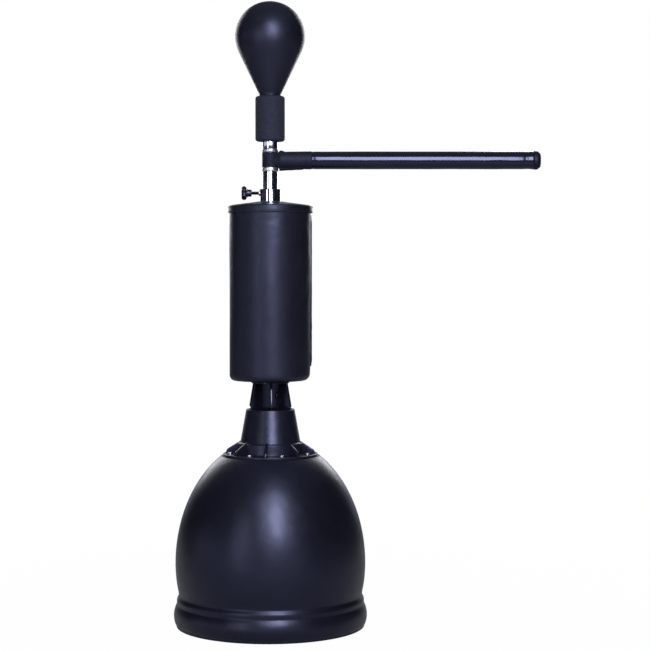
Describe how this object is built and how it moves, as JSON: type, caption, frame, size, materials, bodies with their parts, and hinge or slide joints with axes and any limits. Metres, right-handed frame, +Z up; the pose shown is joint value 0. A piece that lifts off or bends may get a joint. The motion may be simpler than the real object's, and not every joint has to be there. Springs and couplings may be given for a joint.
{
  "type": "free-standing reflex trainer",
  "caption": "Free-standing boxing reflex trainer: fillable domed base, padded bag on a telescopic chrome pole, spinning padded arm and a pear-shaped ball on a sprung neck.",
  "frame": {"origin": "centre of the base's flat underside, on the pole's axis, at floor level", "axes": "+Z up along the pole, -Y the front, +X along the arm at rest; the clamp knob is on -X and the fill cap on +Y"},
  "size_m": [0.8702, 0.4604, 1.4816],
  "materials": {
    "tank_plastic": "satin",
    "socket_plastic": "satin",
    "plug_plastic": "gloss",
    "cap_plastic": "satin",
    "seal_rubber": "matte",
    "insert_brass": "satin",
    "zinc_steel": "satin",
    "black_steel": "satin",
    "chrome_tube": "polished",
    "turned_steel": "satin",
    "spring_steel": "satin",
    "nylon": "satin",
    "knob_plastic": "satin",
    "bag_leather": "satin",
    "bag_foam": "matte",
    "liner_plastic": "matte",
    "arm_leather": "gloss",
    "arm_foam": "matte",
    "webbing": "matte",
    "grip_foam": "matte",
    "ball_leather": "satin",
    "bladder_rubber": "matte"
  },
  "bodies": {
    "root": {"base_shell": "tank_plastic", "thread_inserts": "insert_brass", "base_socket": "socket_plastic", "flange_washers": "zinc_steel", "flange_screws": "zinc_steel", "column_plug": "plug_plastic", "cross_bolt": "zinc_steel", "cross_bolt_nut": "zinc_steel", "outer_tube": "chrome_tube", "guide_bush": "nylon", "clamp_insert": "black_steel", "bag_foam": "bag_foam", "bag_liner": "liner_plastic", "bag_cover": "bag_leather", "bag_closure": "bag_leather"},
    "cap_seal": {"fill_cap_seal": "seal_rubber"},
    "cap": {"fill_cap": "cap_plastic"},
    "tip": {"clamp_tip": "nylon"},
    "knob": {"clamp_screw": "black_steel", "star_knob": "knob_plastic"},
    "pole": {"inner_tube": "chrome_tube", "tube_glide": "nylon", "spindle": "turned_steel", "lower_ring": "chrome_tube", "upper_ring": "chrome_tube", "ring_set_screws": "black_steel", "neck_tube": "chrome_tube", "lower_spring_seat": "turned_steel"},
    "arm": {"lower_hub_bush": "nylon", "upper_hub_bush": "nylon", "arm_hub": "turned_steel", "arm_rod": "black_steel", "arm_foam": "arm_foam", "arm_cover": "arm_leather", "arm_wrap": "webbing", "arm_end_cap": "arm_leather"},
    "neck": {"ball_spring": "spring_steel", "foam_grip": "grip_foam"},
    "ball": {"upper_spring_seat": "turned_steel", "ball_stud": "zinc_steel", "neck_plug": "nylon", "ball_bladder": "bladder_rubber", "ball_valve": "bladder_rubber", "ball_cover": "ball_leather"}
  },
  "joints": [
    {"name": "height_slide", "type": "slide", "parent": "root", "child": "pole", "axis": [0, 0, 1], "range_m": [-0.036, 0.25]},
    {"name": "tip_travel", "type": "slide", "parent": "root", "child": "tip", "axis": [-1, 0, 0], "range_m": [0, 0.00375]},
    {"name": "knob_turn", "type": "hinge", "parent": "tip", "child": "knob", "pos_m": [-0.056, 0, 1.0295], "axis": [-1, 0, 0], "range_deg": [0, 1080]},
    {"name": "cap_travel", "type": "slide", "parent": "root", "child": "cap_seal", "axis": [0, 0.8192, 0.5736], "range_m": [0, 0.02]},
    {"name": "cap_turn", "type": "hinge", "parent": "cap_seal", "child": "cap", "pos_m": [0, 0.16575, 0.35415], "axis": [0, 0.8192, 0.5736], "range_deg": [0, 1800]},
    {"name": "arm_spin", "type": "hinge", "parent": "pole", "child": "arm", "pos_m": [0, 0, 1.107], "axis": [0, 0, 1], "continuous": true},
    {"name": "ball_nod", "type": "hinge", "parent": "pole", "child": "neck", "pos_m": [0, 0, 1.18375], "axis": [1, 0, 0], "range_deg": [-35, 35], "stiffness_Nm_per_rad": 14, "deforming": ["ball_spring", "foam_grip"]},
    {"name": "ball_sway", "type": "hinge", "parent": "neck", "child": "ball", "pos_m": [0, 0, 1.22525], "axis": [0, 1, 0], "range_deg": [-35, 35], "stiffness_Nm_per_rad": 14, "deforming": ["ball_spring", "foam_grip"]}
  ],
  "couplings": [
    {"joint": "knob_turn", "follows": "tip_travel", "rad_per_m": 5026.5},
    {"joint": "cap_turn", "follows": "cap_travel", "rad_per_m": 1570.8}
  ]
}
